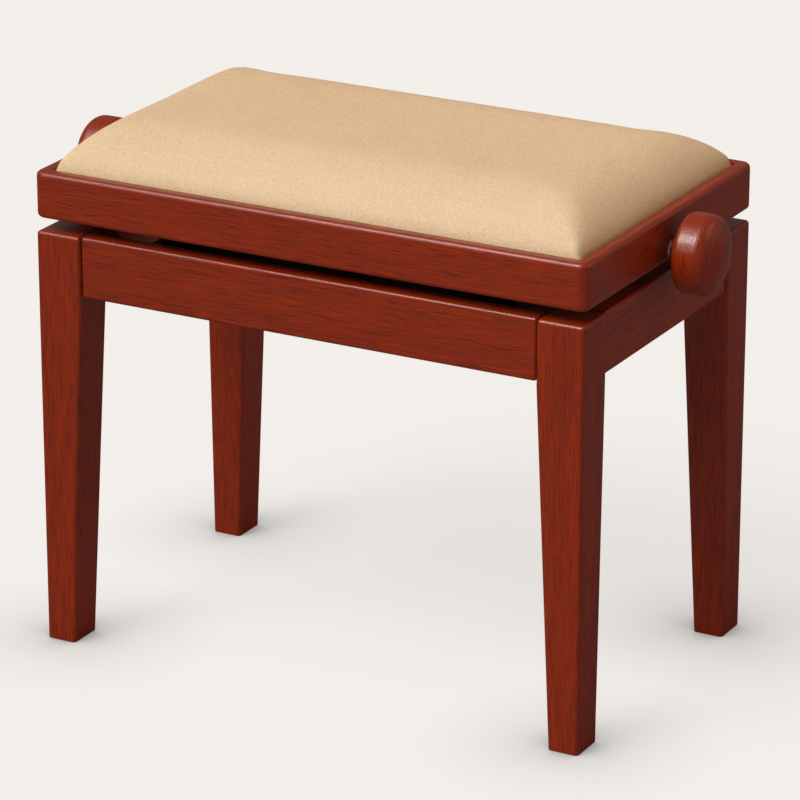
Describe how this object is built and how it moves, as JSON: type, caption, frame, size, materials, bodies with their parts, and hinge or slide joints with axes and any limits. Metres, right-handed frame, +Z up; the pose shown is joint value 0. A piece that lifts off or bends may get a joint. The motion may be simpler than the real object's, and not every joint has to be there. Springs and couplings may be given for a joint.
{
  "type": "adjustable piano bench",
  "caption": "Height-adjustable piano bench with a crowned velour seat on a wooden frame; side knobs turn a spindle that raises the seat on a steel scissor.",
  "frame": {"origin": "on the floor, in the middle of the bench's outline", "axes": "+Z up; +X to the right along the length and the spindle; the front faces -Y"},
  "size_m": [0.661, 0.341, 0.508],
  "materials": {
    "mahogany": "satin lacquer, cherry-red mahogany stain",
    "plain_wood": "plain unfinished beech",
    "plywood": "raw plywood",
    "scissor_steel": "black satin powder coat",
    "zinc_hardware": "zinc plated",
    "nylon": "natural nylon",
    "foam": "open-cell foam",
    "velour": "short-nap beige velour"
  },
  "bodies": {
    "base": {"leg_front_left": "mahogany", "leg_front_right": "mahogany", "leg_back_left": "mahogany", "leg_back_right": "mahogany", "apron_front": "mahogany", "apron_back": "mahogany", "apron_left": "mahogany", "apron_right": "mahogany", "corner_blocks": "mahogany", "corner_bolts": "zinc_hardware", "cross_batten_left": "mahogany", "cross_batten_right": "mahogany", "lower_rail_front": "scissor_steel", "lower_rail_back": "scissor_steel", "lower_rail_screws": "zinc_hardware", "lower_pivot_bolts": "zinc_hardware"},
    "inner_arms": {"inner_arm_front": "scissor_steel", "inner_arm_back": "scissor_steel", "centre_rivets": "zinc_hardware", "arm_tie": "scissor_steel"},
    "outer_arms": {"outer_arm_front": "scissor_steel", "outer_arm_back": "scissor_steel", "lower_slide_shaft": "zinc_hardware", "lower_slide_bushes": "nylon"},
    "sliding_nut": {"cross_nut": "zinc_hardware", "upper_slide_bushes": "nylon"},
    "seat": {"seat_rail_front": "mahogany", "seat_rail_back": "mahogany", "seat_rail_left": "mahogany", "seat_rail_right": "mahogany", "seat_corner_blocks": "plain_wood", "seat_board": "plywood", "seat_board_screws": "zinc_hardware", "foam_pad": "foam", "seat_cover": "velour", "upper_rail_front": "scissor_steel", "upper_rail_back": "scissor_steel", "upper_rail_screws": "zinc_hardware", "upper_pivot_bolts": "zinc_hardware", "spindle_bushes": "nylon"},
    "spindle": {"spindle": "zinc_hardware", "spindle_collars": "zinc_hardware", "knob_left": "mahogany", "knob_right": "mahogany", "knob_grub_screws": "zinc_hardware"}
  },
  "joints": [
    {"name": "scissor_lift", "type": "hinge", "parent": "base", "child": "inner_arms", "pos_m": [-0.14813, 0, 0.376], "axis": [0, -1, 0], "range_deg": [-1.73, 14.98]},
    {"name": "arm_crossing", "type": "hinge", "parent": "inner_arms", "child": "outer_arms", "pos_m": [0, 0, 0.3996], "axis": [0, -1, 0], "range_deg": [-29.98, 3.48]},
    {"name": "seat_pivot", "type": "hinge", "parent": "outer_arms", "child": "seat", "pos_m": [-0.14813, 0, 0.4232], "axis": [0, -1, 0], "range_deg": [-1.75, 15]},
    {"name": "nut_pivot", "type": "hinge", "parent": "inner_arms", "child": "sliding_nut", "pos_m": [0.14813, 0, 0.4232], "axis": [0, -1, 0], "range_deg": [-15, 1.75]},
    {"name": "spindle_turn", "type": "hinge", "parent": "seat", "child": "spindle", "pos_m": [0, 0, 0.4232], "axis": [1, 0, 0], "range_deg": [-294.7, 2536.6]}
  ],
  "couplings": [
    {"joint": "arm_crossing", "follows": "scissor_lift", "ratio": -2},
    {"joint": "seat_pivot", "follows": "scissor_lift", "ratio": 1},
    {"joint": "nut_pivot", "follows": "scissor_lift", "ratio": -1},
    {"joint": "spindle_turn", "follows": "scissor_lift", "ratio": 169.2}
  ]
}
